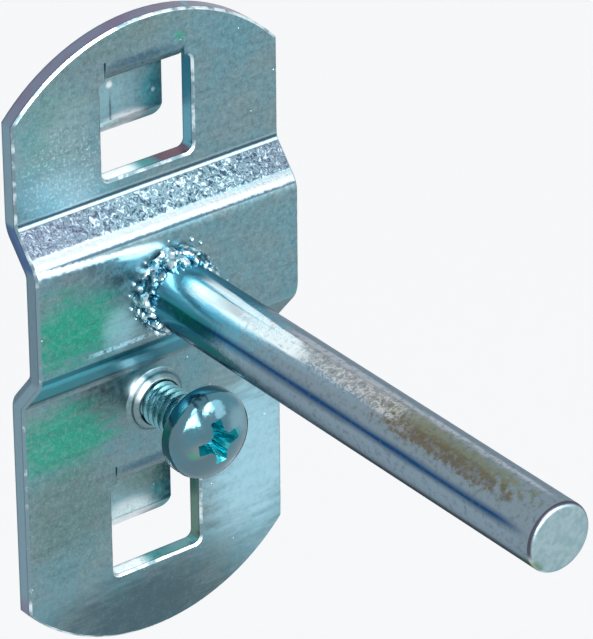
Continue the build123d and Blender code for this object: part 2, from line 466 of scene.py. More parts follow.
tip_edges = [edge for edge in open_edges if edge.verts[0].co.y > tip_y - PITCH]
bmesh.ops.bridge_loops(screw_bm, edges=neck_edges)
bmesh.ops.edgeloop_fill(screw_bm, edges=tip_edges)
bmesh.ops.recalc_face_normals(screw_bm, faces=screw_bm.faces)
print("head joined to the thread by", len(neck_edges), "edges, tip closed over", len(tip_edges))

# %% Shape the recess cutters
RECESS_SPAN = 4.5 * MM
RECESS_WING = 1.15 * MM
RECESS_DEPTH = 2.1 * MM
RECESS_TAPER = 0.45
RECESS_FLARE = 1.1
CORE_WIDTH = 2.5 * MM
CORE_RADIUS = CORE_WIDTH / 2
CORE_TIP_RADIUS = CORE_WIDTH / 5
CORE_SEGMENTS = 32
RECESS_TURN = radians(-7)
RECESS_ABOVE = 0.4 * MM


def tapered_cross():
    """A block whose four sides are extruded into a cross, drawn in towards its deep end."""
    bm = bmesh.new()
    bmesh.ops.create_cube(bm, size=RECESS_WING)
    reach = (RECESS_SPAN - RECESS_WING) / 2
    sides = [face for face in bm.faces if abs(face.normal.y) < SLANT_LOW]
    for side in sides:
        outward = side.normal.copy()
        grown = bmesh.ops.extrude_discrete_faces(bm, faces=[side])["faces"]
        bmesh.ops.translate(bm, verts=grown[0].verts, vec=outward * reach)
    for vert in bm.verts:
        deep = vert.co.y > 0
        vert.co.y = RECESS_DEPTH if deep else -RECESS_ABOVE
        narrow = RECESS_TAPER if deep else RECESS_FLARE
        vert.co.x *= narrow
        vert.co.z *= narrow
    return bm


def recess_core():
    """A cone for the middle of the recess, where the four wings meet."""
    bm = bmesh.new()
    length = RECESS_DEPTH + RECESS_ABOVE
    tilt = Matrix.Rotation(-pi / 2, 4, "X")
    place = Matrix.Translation((0, length / 2 - RECESS_ABOVE, 0)) @ tilt
    bmesh.ops.create_cone(
        bm,
        cap_ends=True,
        segments=CORE_SEGMENTS,
        radius1=CORE_RADIUS,
        radius2=CORE_TIP_RADIUS,
        depth=length,
        matrix=place,
    )
    return bm


def cutter_object(name, bm):
    """A cutter at the head's top, turned as the recess is on the real screw."""
    place = Matrix.Translation((0, top_y, SCREW_HEIGHT)) @ Matrix.Rotation(RECESS_TURN, 4, "Y")
    bmesh.ops.transform(bm, matrix=place, verts=bm.verts)
    bmesh.ops.recalc_face_normals(bm, faces=bm.faces)
    mask = bm.faces.layers.float.new("recess")
    for face in bm.faces:
        face[mask] = 1.0
    return place_mesh(name, bm)


cross = cutter_object("cross_cutter", tapered_cross())
core = cutter_object("core_cutter", recess_core())
print("recess cutters have", len(cross.data.polygons), "and", len(core.data.polygons), "faces")

# %% Cut the cross recess
RECESS_ROUNDING = 0.07 * MM
IN_RECESS = 0.5


def cut(bm, cutters):
    """Cuts each cutter out of a mesh with an exact Boolean, and takes the cutters away."""
    blank = place_mesh("blank", bm)
    for cutter in cutters:
        boolean = blank.modifiers.new("cut", "BOOLEAN")
        boolean.solver = "EXACT"
        boolean.object = cutter
    result = bpy.data.meshes.new_from_object(blank.evaluated_get(bpy.context.evaluated_depsgraph_get()))
    made = bmesh.new()
    made.from_mesh(result)
    for thing in (blank, *cutters):
        used = thing.data
        bpy.data.objects.remove(thing)
        bpy.data.meshes.remove(used)
    bpy.data.meshes.remove(result)
    return made


screw_bm.faces.layers.float.new("recess")
screw_bm = cut(screw_bm, [cross, core])
bmesh.ops.remove_doubles(screw_bm, verts=screw_bm.verts, dist=MERGE)
recess_mask = screw_bm.faces.layers.float["recess"]
recess_faces = [face for face in screw_bm.faces if face[recess_mask] > IN_RECESS]
mouth = [
    edge
    for edge in screw_bm.edges
    if edge.verts[0].co.y < under_head_y and edge.calc_face_angle(0) > SHARP_ANGLE
]
soften(screw_bm, mouth, RECESS_ROUNDING, ROUNDING_STEPS)
bmesh.ops.remove_doubles(screw_bm, verts=screw_bm.verts, dist=MERGE)
print("recess has", len(recess_faces), "faces and", len(mouth), "softened edges")
screw = make_piece("lock_screw", screw_bm, "screw", "locking_screw")

# %% [markdown]
# ## Helpers for the finishes
# All four pieces are zinc-plated steel, passivated with a thin film that shines blue and green. Plating
# is a metal, so the base colour is the colour of its reflections. The patterns read each piece's own
# coordinates, turned into millimetres so that their scales can be compared with the real thing. Small
# helpers keep the node trees readable: one adds a node and fills its inputs, and others make soft steps,
# do sums and lay tints over a colour. A finish is then a colour with layers, each a mask and a tint.

# %% Node helpers


def tone(red, green, blue):
    """A colour as an image editor shows it, from 0 to 255, in the linear values that shaders use."""
    linear = Color((red / 255, green / 255, blue / 255)).from_srgb_to_scene_linear()
    return (*linear, 1.0)


def plug(tree, socket, value):
    """Links an output into a socket, or sets the socket's own value."""
    if isinstance(value, bpy.types.NodeSocket):
        tree.links.new(value, socket)
    else:
        socket.default_value = value


def add_node(tree, kind, inputs=None, **settings):
    """Adds a node with its settings, and fills the inputs that are named."""
    made = tree.nodes.new(kind)
    for name, value in settings.items():
        setattr(made, name, value)
    for name, value in (inputs or {}).items():
        plug(tree, made.inputs[name], value)
    return made


def sums(tree, operation, first, second=0.0):
    """One sum on two values."""
    made = tree.nodes.new("ShaderNodeMath")
    made.operation = operation
    plug(tree, made.inputs[0], first)
    plug(tree, made.inputs[1], second)
    return made.outputs[0]


def vectors(tree, operation, first, second=(0, 0, 0)):
    """One sum on two vectors, which gives a vector, or a value where it measures a length."""
    made = tree.nodes.new("ShaderNodeVectorMath")
    made.operation = operation
    plug(tree, made.inputs[0], first)
    plug(tree, made.inputs[1], second)
    return made.outputs["Value" if operation == "LENGTH" else "Vector"]


print("node helpers ready")

# %% Helpers for masks and colours
MIX_FACTOR = 0
MIX_FIRST = 6
MIX_SECOND = 7
MIX_RESULT = 2


def soft_step(tree, value, low, high, start=0.0, stop=1.0, kind="SMOOTHSTEP"):
    """A value that goes from start to stop while another goes from low to high."""
    limits = {"Value": value, "From Min": low, "From Max": high, "To Min": start, "To Max": stop}
    return add_node(tree, "ShaderNodeMapRange", limits, interpolation_type=kind).outputs["Result"]


def band(tree, value, low, high, soft):
    """A mask that is 1 between two limits and fades away over a soft width at each."""
    rise = soft_step(tree, value, low - soft, low + soft)
    fall = soft_step(tree, value, high - soft, high + soft, 1.0, 0.0)
    return sums(tree, "MULTIPLY", rise, fall)


def all_of(tree, first, *others):
    """The product of several masks and shares."""
    for other in others:
        first = sums(tree, "MULTIPLY", first, other)
    return first


def mix_colours(tree, share, first, second):
    """A blend of two colours, all first at 0 and all second at 1."""
    mixer = tree.nodes.new("ShaderNodeMix")
    mixer.data_type = "RGBA"
    plug(tree, mixer.inputs[MIX_FACTOR], share)
    plug(tree, mixer.inputs[MIX_FIRST], first)
    plug(tree, mixer.inputs[MIX_SECOND], second)
    return mixer.outputs[MIX_RESULT]


def layered(tree, colour, *layers):
    """A colour with layers laid over it in turn, each a share and a tint."""
    for share, tint in layers:
        colour = mix_colours(tree, share, colour, tint)
    return colour


print("helpers for masks and colours ready")

# %% Helpers for patterns and groups


def noise_value(tree, position, scale, detail=2.0, roughness=0.5, distortion=0.0):
    """Smooth noise from 0 to 1, with a scale in features per millimetre."""
    settings = {
        "Vector": position,
        "Scale": scale,
        "Detail": detail,
        "Roughness": roughness,
        "Distortion": distortion,
    }
    return add_node(tree, "ShaderNodeTexNoise", settings).outputs[0]


def in_millimetres(tree):
    """A piece's own coordinates, in millimetres."""
    own = add_node(tree, "ShaderNodeTexCoord").outputs["Object"]
    return vectors(tree, "DIVIDE", own, (MM, MM, MM))


def split(tree, position):
    """The X, Y and Z of a position."""
    return add_node(tree, "ShaderNodeSeparateXYZ", {"Vector": position}).outputs


def new_group(name, inputs, outputs):
    """An empty node group with named inputs and outputs."""
    group = bpy.data.node_groups.new(name, "ShaderNodeTree")
    for label, kind in inputs.items():
        group.interface.new_socket(label, in_out="INPUT", socket_type=kind)
    for label in outputs:
        group.interface.new_socket(label, in_out="OUTPUT", socket_type="NodeSocketFloat")
    return group, group.nodes.new("NodeGroupInput").outputs, group.nodes.new("NodeGroupOutput").inputs


def use_group(tree, group, inputs):
    """Places a group in a material and fills its inputs."""
    placed = add_node(tree, "ShaderNodeGroup", node_tree=group)
    for label, value in inputs.items():
        plug(tree, placed.inputs[label], value)
    return placed.outputs


print("helpers for patterns and groups ready")

# %% [markdown]
# ## Effects that the finishes share
# Three effects come back on several pieces, so each is a node group. The plating group gives large soft
# clouds of film colour, a fine grain, and the small nodules that a plating bath leaves. The stain group
# gives a ragged, streaked patch round a centre, for tinted film, handling marks and patches of painted
# light and shade. The drawn lines group stretches noise along one direction, for marks of rolling and
# drawing. Noise seldom leaves the middle of its range, so a span says which part of that range is used.

# %% Build the plating group
POSITION = "NodeSocketVector"
NUMBER = "NodeSocketFloat"
NOISE_SPAN = (0.3, 0.7)
WIDE_SPAN = (0.2, 0.8)
CLOUD_SCALE = 0.16
CLOUD_EDGE = (0.34, 0.66)
GRAIN_SCALE = 2.2
NODULE_SCALE = 0.85
NODULE_CHANCE = (0.5, 1.0)
NODULE_SIZE = 0.09
NODULE_EDGE = (0.0, 0.05)

plating, given, result = new_group("zinc_plating", {"Position": POSITION}, ["Cloud", "Grain", "Nodules"])
tree = plating
cloud = noise_value(tree, given["Position"], CLOUD_SCALE, detail=5.0, roughness=0.62)
plug(tree, result["Cloud"], soft_step(tree, cloud, *CLOUD_EDGE))
grain = noise_value(tree, given["Position"], GRAIN_SCALE, detail=3.0, roughness=0.65)
plug(tree, result["Grain"], grain)
cells = add_node(tree, "ShaderNodeTexVoronoi", {"Vector": given["Position"], "Scale": NODULE_SCALE})
chance = add_node(tree, "ShaderNodeSeparateColor", {"Color": cells.outputs["Color"]}).outputs[0]
nodule_size = soft_step(tree, chance, *NODULE_CHANCE, 0.0, NODULE_SIZE)
nodule = sums(tree, "SUBTRACT", nodule_size, cells.outputs["Distance"])
plug(tree, result["Nodules"], soft_step(tree, nodule, *NODULE_EDGE))
print("plating group has", len(plating.nodes), "nodes")

# %% Build the stain and line groups
STAIN_FADE = (1.0, 0.25)
STAIN_INPUTS = {
    "Position": POSITION,
    "Centre": POSITION,
    "Size": POSITION,
    "Streaks": POSITION,
    "Ragged": NUMBER,
}

stain, given, result = new_group("ragged_stain", STAIN_INPUTS, ["Mask"])
tree = stain
away = vectors(tree, "SUBTRACT", given["Position"], given["Centre"])
reach = vectors(tree, "LENGTH", vectors(tree, "DIVIDE", away, given["Size"]))
streaked = vectors(tree, "MULTIPLY", given["Position"], given["Streaks"])
edge_noise = noise_value(tree, streaked, 1.0, detail=4.0, roughness=0.65)
wander = all_of(tree, sums(tree, "SUBTRACT", edge_noise, 0.5), given["Ragged"])
plug(tree, result["Mask"], soft_step(tree, sums(tree, "ADD", reach, wander), *STAIN_FADE))

drawn, given, result = new_group("drawn_lines", {"Position": POSITION, "Stretch": POSITION}, ["Lines"])
tree = drawn
stretched = vectors(tree, "MULTIPLY", given["Position"], given["Stretch"])
plug(tree, result["Lines"], noise_value(tree, stretched, 1.0, detail=4.0, roughness=0.6))
print("groups", [group.name for group in bpy.data.node_groups])

# %% Helpers for the finishes of metal


def new_finish(name):
    """A plated metal with its tree, its shader, its position in millimetres and its plating group."""
    finish = bpy.data.materials.new(name)
    finish.use_nodes = True
    tree = finish.node_tree
    shader = tree.nodes["Principled BSDF"]
    shader.inputs["Metallic"].default_value = 1.0
    position = in_millimetres(tree)
    return finish, tree, shader, position, use_group(tree, plating, {"Position": position})


def stain_mask(tree, position, centre, size, streaks, ragged):
    """Places the stain group round a centre and gives its mask."""
    inputs = {"Position": position, "Centre": centre, "Size": size, "Streaks": streaks, "Ragged": ragged}
    return use_group(tree, stain, inputs)["Mask"]


def paint_stains_and_light(tree, position, colour, stains, streaks):
    """Blends each row's tint, a stain or a patch of painted light, into a colour: tint, centre, size,
    raggedness and strength.
    """
    for tint, centre, size, ragged, strength in stains:
        mask = stain_mask(tree, position, centre, size, streaks, ragged)
        colour = mix_colours(tree, all_of(tree, mask, strength), colour, tint)
    return colour


def mesh_mask(tree, name):
    """A face or vertex attribute of the mesh, as a value."""
    return add_node(tree, "ShaderNodeAttribute", attribute_name=name).outputs["Fac"]


def raise_surface(tree, shader, *reliefs):
    """Adds up reliefs, each a pattern with its height in millimetres, into one bump."""
    height = 0.0
    for pattern, size in reliefs:
        height = sums(tree, "ADD", height, all_of(tree, pattern, size))
    bump = add_node(tree, "ShaderNodeBump", {"Strength": 1.0, "Distance": MM, "Height": height})
    plug(tree, shader.inputs["Normal"], bump.outputs["Normal"])


print("helpers for the finishes of metal ready")

# %% [markdown]
# ## The plate's film
# The plate is dull where the sheet is flat. The film is grey blue, with streaks of green at the left of
# the raised middle and of the lower pad, a paler blue at the lower right, and a darker foot. The tongues
# are a paler grey, rubbed bright at their tips, with painted shade where they bend back. A painted shadow
# lies on the raised middle under the bend at the left of the rod. Painted highlights sit where the thin
# highlight below the bend runs into the weld, and on the left of the collar. One material holds all of
# this. Each stain is a row: its tint, its centre and size in millimetres, how ragged it is, and how
# strong. Stains find their place by the plate's own coordinates, so they stay put however the holder is
# turned.

# %% List the plate's stains
BRIGHT = tone(236, 245, 248)
FILM_AND_SHADOW_DARK = tone(68, 90, 98)
FILM_LIGHT = tone(138, 162, 167)
FILM_GREEN = tone(30, 156, 128)
FILM_AND_HIGHLIGHT_PALE = tone(168, 214, 230)
FILM_TEAL = tone(72, 170, 182)
FILM_OLIVE = tone(98, 124, 120)
TONGUE_GREY = tone(134, 174, 184)
TONGUE_SHADE = tone(50, 88, 112)
PLATE_STAINS_AND_LIGHT = [
    (FILM_GREEN, (-10.0, -4.25, -19.4), (6.6, 1.5, 5.2), 1.5, 0.88),
    (FILM_GREEN, (-6.0, -4.25, -19.6), (3.4, 1.5, 3.4), 1.2, 0.35),
    (FILM_GREEN, (-9.6, -1.5, -31.2), (7.2, 1.5, 5.0), 1.5, 0.82),
    (FILM_GREEN, (-9.6, -1.5, -2.0), (5.0, 1.5, 5.5), 1.5, 0.18),
    (FILM_GREEN, (3.4, -1.5, 2.5), (0.8, 1.5, 0.6), 0.5, 0.6),
    (FILM_AND_HIGHLIGHT_PALE, (-8.2, -1.5, -8.0), (6.5, 1.5, 3.4), 1.0, 0.2),
    (FILM_AND_HIGHLIGHT_PALE, (10.5, -1.5, -40.0), (7.5, 1.5, 12.0), 0.9, 0.78),
    (FILM_LIGHT, (-7.6, -1.5, -2.6), (3.6, 1.5, 4.4), 0.9, 0.5),
    (FILM_OLIVE, (-2.0, -1.5, 5.2), (10.0, 1.5, 3.6), 0.9, 0.45),
    (FILM_OLIVE, (-9.0, -1.5, -38.5), (7.5, 1.5, 7.0), 0.9, 0.7),
    (FILM_AND_SHADOW_DARK, (-1.5, -1.5, -51.0), (14.0, 1.5, 6.5), 0.9, 0.9),
    # A painted shadow on the raised middle, under the bend at the left of the rod.
    (FILM_AND_SHADOW_DARK, (-4.5, -4.25, -16.0), (2.6, 1.0, 0.9), 0.9, 0.8),
    (FILM_AND_HIGHLIGHT_PALE, (-5.2, -4.25, -20.6), (2.4, 1.0, 3.0), 0.9, 0.5),
    # A painted highlight where the thin highlight below the bend runs into the weld.
    (BRIGHT, (-3.2, -4.25, -14.2), (2.6, 1.0, 0.8), 1.0, 0.8),
    # A painted highlight on the left of the collar.
    (BRIGHT, (-1.9, -2.1, -28.7), (1.5, 1.2, 1.3), 0.3, 0.95),
]
TONGUE_STAINS_AND_SHADE = [
    (TONGUE_GREY, (-1.6, 2.0, -4.0), (5.0, 2.6, 4.6), 0.4, 0.9),
    (FILM_TEAL, (3.2, 2.0, -3.8), (1.9, 2.0, 4.4), 0.5, 0.6),
    # Painted shade where the tongue bends back from the plate.
    (TONGUE_SHADE, (-0.6, -1.2, 1.7), (5.2, 1.6, 0.8), 0.5, 0.7),
    (BRIGHT, (0.2, 2.0, -5.6), (3.4, 1.8, 1.2), 0.6, 0.95),
]
TONGUE_MARKS = [
    (FILM_OLIVE, (0.8, 2.0, -39.8), (5.0, 2.6, 2.8), 0.5, 0.75),
    (BRIGHT, (-0.6, 2.0, -43.2), (3.8, 1.2, 1.8), 0.3, 0.95),
    (FILM_AND_SHADOW_DARK, (-1.25, 2.0, -4.3), (0.16, 2.6, 2.2), 0.3, 0.75),
    (BRIGHT, (-1.3, 1.9, -1.9), (0.45, 1.0, 0.45), 0.2, 0.95),
    (BRIGHT, (3.1, 1.9, -3.7), (0.28, 1.0, 0.28), 0.2, 0.9),
]
print("plate has", len(PLATE_STAINS_AND_LIGHT), "stains, and", len(TONGUE_STAINS_AND_SHADE), "on each tongue")

# %% Start the plate's finish
FILM_GREY = tone(116, 139, 145)
FILM_BLUE = tone(99, 142, 153)
PLATE_STREAKS = (0.25, 1.0, 1.5)
PLATE_LINES = (0.12, 1.0, 1.6)

plate_finish, tree, shader, position, film = new_finish("plate_plating")
lines = use_group(tree, drawn, {"Position": position, "Stretch": PLATE_LINES})["Lines"]
places = split(tree, position)
colour = mix_colours(tree, film["Cloud"], FILM_GREY, FILM_BLUE)
colour = paint_stains_and_light(tree, position, colour, PLATE_STAINS_AND_LIGHT, PLATE_STREAKS)
for hook in hooks:
    from_hook = vectors(tree, "SUBTRACT", position, (0, 0, hook / MM))
    colour = paint_stains_and_light(tree, from_hook, colour, TONGUE_STAINS_AND_SHADE, PLATE_STREAKS)
colour = paint_stains_and_light(tree, position, colour, TONGUE_MARKS, PLATE_STREAKS)
print("plate film started with", len(tree.nodes), "nodes")

# %% [markdown]
# ## The plate's mottling
# Close up, the film is mottled: warm patches, dark and light grains, faint lines of rolling, and fine
# bright specks, most of them at the left of the upper pad. The foot and the right of the lower pad are
# calmer. Each of these is noise cut by a soft step, and one mask turns them all down where it is calm.

# %% Mottle the film
FILM_WARM = tone(124, 132, 134)
NODULE_BRIGHT = tone(205, 226, 230)
PATCH_SCALE = 0.8
FOOT_FADE = (-43.0, -48.0)
RIGHT_FADE = (4.5, 8.0)
LOWER_PAD_FADE = (-27.0, -30.0)
CALM_SHARE = 0.35
SPARKLE_CENTRE = (-8.0, -1.5, -6.5)
SPARKLE_SIZE = (6.5, 1.5, 6.0)
SPARKLE_RAGGED = 0.8
SPARKLE_SHARES = (0.07, 0.28)
SPARKLE_SCALE = 4.0
SPARKLE_EDGE = (0.52, 0.64)
NODULE_SHARE = 0.7

on_lower_pad = soft_step(tree, places["Z"], *LOWER_PAD_FADE)
at_right = all_of(tree, soft_step(tree, places["X"], *RIGHT_FADE), on_lower_pad)
calm = sums(tree, "MAXIMUM", soft_step(tree, places["Z"], *FOOT_FADE), at_right)
mottled = soft_step(tree, calm, 0.0, 1.0, 1.0, CALM_SHARE)
patches = noise_value(tree, position, PATCH_SCALE, detail=3.0, roughness=0.6)
for pattern, limits, strength, tint in (
    (patches, (0.5, 0.68), 0.18, FILM_WARM),
    (film["Grain"], (0.5, 0.3), 0.26, FILM_AND_SHADOW_DARK),
    (film["Grain"], (0.5, 0.72), 0.24, FILM_LIGHT),
    (lines, (0.5, 0.3), 0.18, FILM_AND_SHADOW_DARK),
):
    spots = all_of(tree, soft_step(tree, pattern, *limits), mottled, strength)
    colour = mix_colours(tree, spots, colour, tint)
sparkle_zone = stain_mask(tree, position, SPARKLE_CENTRE, SPARKLE_SIZE, PLATE_STREAKS, SPARKLE_RAGGED)
sparkle_share = soft_step(tree, sparkle_zone, 0.0, 1.0, *SPARKLE_SHARES)
sparkle = soft_step(tree, noise_value(tree, position, SPARKLE_SCALE), *SPARKLE_EDGE)
colour = layered(
    tree,
    colour,
    (all_of(tree, sparkle, sparkle_share, mottled), NODULE_BRIGHT),
    (all_of(tree, film["Nodules"], NODULE_SHARE), NODULE_BRIGHT),
)
print("plate mottled, with", len(tree.nodes), "nodes so far")

# %% [markdown]
# ## The plate's steps
# The slope above the rod is crinkled all over. The bend below the slope gets a painted highlight, so that
# it shines almost white. A thinner painted highlight follows it on the raised middle and dies out before
# the weld, with a line of painted shade between the two. The inside of the upper bend gets thin lines of
# painted highlight and shade along its crease. The slope below the rod is a dark teal, with painted shade
# at its top and foot, and lines of painted highlight run along the lower bends. Each of these is a band
# of heights, and noise breaks it up. The marks lie on the front alone, so the script works out how deep a
# spot lies in the sheet, which steps forward in the raised middle, and masks the back.

# %% Find the front of the sheet
UPPER_STEP = (-9.87, -13.15)
LOWER_STEP = (-23.65, -26.93)
SHEET_MM = SHEET / MM
PAD_FRONT = -SHEET_MM
RAISED_FRONT = rod_high.y / MM
FRONT_HALF = (0.6, 0.4)

down = soft_step(tree, places["Z"], *UPPER_STEP, PAD_FRONT, RAISED_FRONT, kind="LINEAR")
back_up = soft_step(tree, places["Z"], *LOWER_STEP, 0.0, PAD_FRONT - RAISED_FRONT, kind="LINEAR")
front = sums(tree, "ADD", down, back_up)
depth = sums(tree, "DIVIDE", sums(tree, "SUBTRACT", places["Y"], front), SHEET_MM)
on_front = soft_step(tree, depth, *FRONT_HALF)
print("raised middle stands", round(PAD_FRONT - RAISED_FRONT, 2), "mm in front of the pads")

# %% Crinkle the upper slope
CRINKLE_AND_SHADE_DARK = tone(45, 62, 78)
CRINKLE_MIDDLE = tone(92, 117, 127)
CRINKLE_AND_HIGHLIGHT_LIGHT = tone(164, 183, 191)
CRINKLE_PURPLE = tone(82, 78, 98)
CRINKLE_SCALE = 2.1
CRINKLE_ZONE = (-12.1, -10.1)
CRINKLE_SOFT = 0.1
CRINKLE_HOLLOWS = (0.48, 0.37)
CRINKLE_CRESTS = (0.54, 0.66)
CRINKLE_MIDWAY = 2.5
PURPLE_FADE = (3.0, 14.0, 0.0, 0.48)

crinkle = noise_value(tree, position, CRINKLE_SCALE, roughness=0.6, distortion=1.4)
crinkled = all_of(tree, band(tree, places["Z"], *CRINKLE_ZONE, CRINKLE_SOFT), on_front)
from_middle = sums(tree, "ABSOLUTE", sums(tree, "SUBTRACT", places["X"], CRINKLE_MIDWAY))
crinkle_colour = layered(
    tree,
    CRINKLE_MIDDLE,
    (soft_step(tree, crinkle, *CRINKLE_HOLLOWS), CRINKLE_AND_SHADE_DARK),
    (soft_step(tree, crinkle, *CRINKLE_CRESTS), CRINKLE_AND_HIGHLIGHT_LIGHT),
    (soft_step(tree, from_middle, *PURPLE_FADE), CRINKLE_PURPLE),
)
colour = mix_colours(tree, crinkled, colour, crinkle_colour)
print("upper slope crinkled between", CRINKLE_ZONE)

# %% Draw the painted highlights and shades at the bends, and the lower slope's teal
SLOPE_TEAL = tone(44, 158, 180)
SLOPE_SHADE_BLACK = tone(34, 48, 60)
LINE_SOFT = 0.07
BEND_FOOT_SHADE = (-13.2, -12.94)
UPPER_CREASE_HIGHLIGHT = (-10.08, -9.92)
UPPER_CREASE_SHADE = (-9.86, -9.62)
UPPER_CREASE_PALE_HIGHLIGHT = (-9.54, -9.42)
LOWER_BEND_HIGHLIGHT = (-22.5, -22.1)
LOWER_BEND_HIGHLIGHT_SPAN = (-8.0, -2.5, 1.5)
LOWER_SLOPE = (-26.3, -23.0)
LOWER_SLOPE_FADE = (6.0, 1.0, 0.1, 0.9)
LOWER_CREASE_HIGHLIGHT = (-26.75, -26.45)
LOWER_CREASE_HIGHLIGHT_SHARE = 0.6
SLOPE_TOP = (-23.5, -23.0)
SLOPE_TOP_FADE = (2.0, -2.0, 0.0, 0.55)
SLOPE_FOOT = (-26.4, -25.9)
SLOPE_FOOT_FADE = (2.0, -6.0, 0.0, 0.7)
BROKEN_LINE = (0.35, 0.55)
SLOPE_SPOTS = (0.35, 0.6, 0.65, 1.0)

broken = soft_step(tree, film["Grain"], *BROKEN_LINE)
lower_bend_highlight_share = all_of(tree, band(tree, places["X"], *LOWER_BEND_HIGHLIGHT_SPAN), broken)
slope_spots = soft_step(tree, film["Grain"], *SLOPE_SPOTS)
slope_share = all_of(tree, soft_step(tree, places["X"], *LOWER_SLOPE_FADE), slope_spots)
# Light lines are painted highlights and dark ones are painted shade; the teal row colours the lower slope.
bend_light_and_tints = (
    (BEND_FOOT_SHADE, CRINKLE_AND_SHADE_DARK, 0.85),
    (UPPER_CREASE_PALE_HIGHLIGHT, CRINKLE_AND_HIGHLIGHT_LIGHT, 0.5),
    (UPPER_CREASE_SHADE, CRINKLE_AND_SHADE_DARK, 0.9),
    (UPPER_CREASE_HIGHLIGHT, CRINKLE_AND_HIGHLIGHT_LIGHT, 0.8),
    (LOWER_BEND_HIGHLIGHT, FILM_AND_HIGHLIGHT_PALE, lower_bend_highlight_share),
    (LOWER_SLOPE, SLOPE_TEAL, slope_share),
    (SLOPE_TOP, SLOPE_SHADE_BLACK, soft_step(tree, places["X"], *SLOPE_TOP_FADE)),
    (SLOPE_FOOT, SLOPE_SHADE_BLACK, soft_step(tree, places["X"], *SLOPE_FOOT_FADE)),
    (LOWER_CREASE_HIGHLIGHT, CRINKLE_AND_HIGHLIGHT_LIGHT, all_of(tree, broken, LOWER_CREASE_HIGHLIGHT_SHARE)),
)
for heights, tint, share in bend_light_and_tints:
    line = band(tree, places["Z"], *heights, LINE_SOFT)
    colour = mix_colours(tree, all_of(tree, line, on_front, share), colour, tint)
# The lines counted here are painted highlights and shades, with the lower slope's teal.
print("drew", len(bend_light_and_tints), "lines of the press")

# %% Paint the highlights on the upper bend
BEND_HIGHLIGHT = tone(142, 153, 159)
BEND_ZONE = (-12.92, -12.14)
BEND_SOFT = 0.12
BEND_TILT = 0.008
BEND_WAVER = 0.08
SECOND_ZONE = (-14.4, -13.88)
SECOND_SOFT = 0.14
SECOND_TILT = 0.06
SECOND_FADE = (0.0, -4.5)
SECOND_SHARE = 0.66

# The bend's band and the thinner line below it are painted highlights.
waver = soft_step(tree, film["Grain"], *NOISE_SPAN, -BEND_WAVER, BEND_WAVER)
tilted = sums(tree, "ADD", places["Z"], all_of(tree, places["X"], BEND_TILT))
bend_height = sums(tree, "ADD", tilted, waver)
bent = all_of(tree, band(tree, bend_height, *BEND_ZONE, BEND_SOFT), on_front)
second_height = sums(tree, "ADD", bend_height, all_of(tree, places["X"], SECOND_TILT))
to_left = soft_step(tree, places["X"], *SECOND_FADE)
second_highlight_band = band(tree, second_height, *SECOND_ZONE, SECOND_SOFT)
second_highlight_share = all_of(tree, second_highlight_band, to_left, on_front, SECOND_SHARE)
colour = layered(tree, colour, (bent, BEND_HIGHLIGHT), (second_highlight_share, BRIGHT))
# The band printed here is the bend's painted highlight.
print("bend polished between", BEND_ZONE)

# %% [markdown]
# ## The plate's edges
# The die leaves a thin burr along the front edges, burnished bright, and its colour carries a painted
# highlight too, brighter on the arcs and duller at the left below the bend. The sheared walls are smooth
# and grey blue, darker at the raised middle and at the back, with a dark line under the burr and a purple
# cast on the arcs. The floors of the two windows face up: they are bright at the left and teal further
# right, and the upper one turns brown. The face attributes that were kept with the mesh say where each
# finish lies.

# %% Colour the sheared walls
WALL_GREY = tone(112, 142, 156)
WALL_PURPLE = tone(118, 108, 136)
WALL_BLUE = tone(58, 92, 138)
WALL_DARK = tone(60, 82, 98)
WALL_TEAL = tone(90, 152, 172)
WALL_GREEN = tone(88, 122, 112)
UPPER_ARC = (-1.5, 0.5)
LOWER_ARC = (-45.0, -46.5)
PURPLE_SHARES = (0.5, 1.0)
STEP_SOFT = 0.3
RAISED_SHARE = 0.35
LOWER_WINDOW_FADE = (-25.0, -35.0)
RIGHT_WALL = (4.4, 4.8, 0.1)

on_upper_arc = soft_step(tree, places["Z"], *UPPER_ARC)
on_arcs = sums(tree, "ADD", on_upper_arc, soft_step(tree, places["Z"], *LOWER_ARC))
cloudy = soft_step(tree, film["Cloud"], 0.0, 1.0, *PURPLE_SHARES)
on_raised = band(tree, places["Z"], LOWER_STEP[0], UPPER_STEP[1], STEP_SOFT)
on_upper_step = band(tree, places["Z"], *UPPER_STEP[::-1], STEP_SOFT)
at_lower = soft_step(tree, places["Z"], *LOWER_WINDOW_FADE)
right_wall = mix_colours(tree, at_lower, WALL_TEAL, WALL_GREEN)
wall_colour = layered(
    tree,
    WALL_GREY,
    (all_of(tree, on_arcs, cloudy), WALL_PURPLE),
    (all_of(tree, on_raised, RAISED_SHARE), WALL_DARK),
    (on_upper_step, WALL_BLUE),
    (band(tree, places["X"], *RIGHT_WALL), right_wall),
)
print("walls coloured, with", len(tree.nodes), "nodes so far")

# %% Colour the windows' floors
FLOOR_TEAL = tone(96, 166, 168)
FLOOR_BROWN = tone(112, 86, 100)
WINDOW_FLOOR = 8.5
WINDOW_HALF = 4.8
INSIDE_SOFT = 0.05
FLOOR_REACH = 0.25
FLOOR_SOFT = 0.1
FLOOR_TEAL_FADE = (-1.6, 0.0)
FLOOR_BROWN_FADE = (0.6, 1.8)
LOWER_BROWN_SHARE = 0.2
UNDER_BURR = (0.1, 0.22, 0.06)
UNDER_BURR_SHARE = 0.6
BACK_FADE = (0.8, 1.0, 0.0, 0.55)

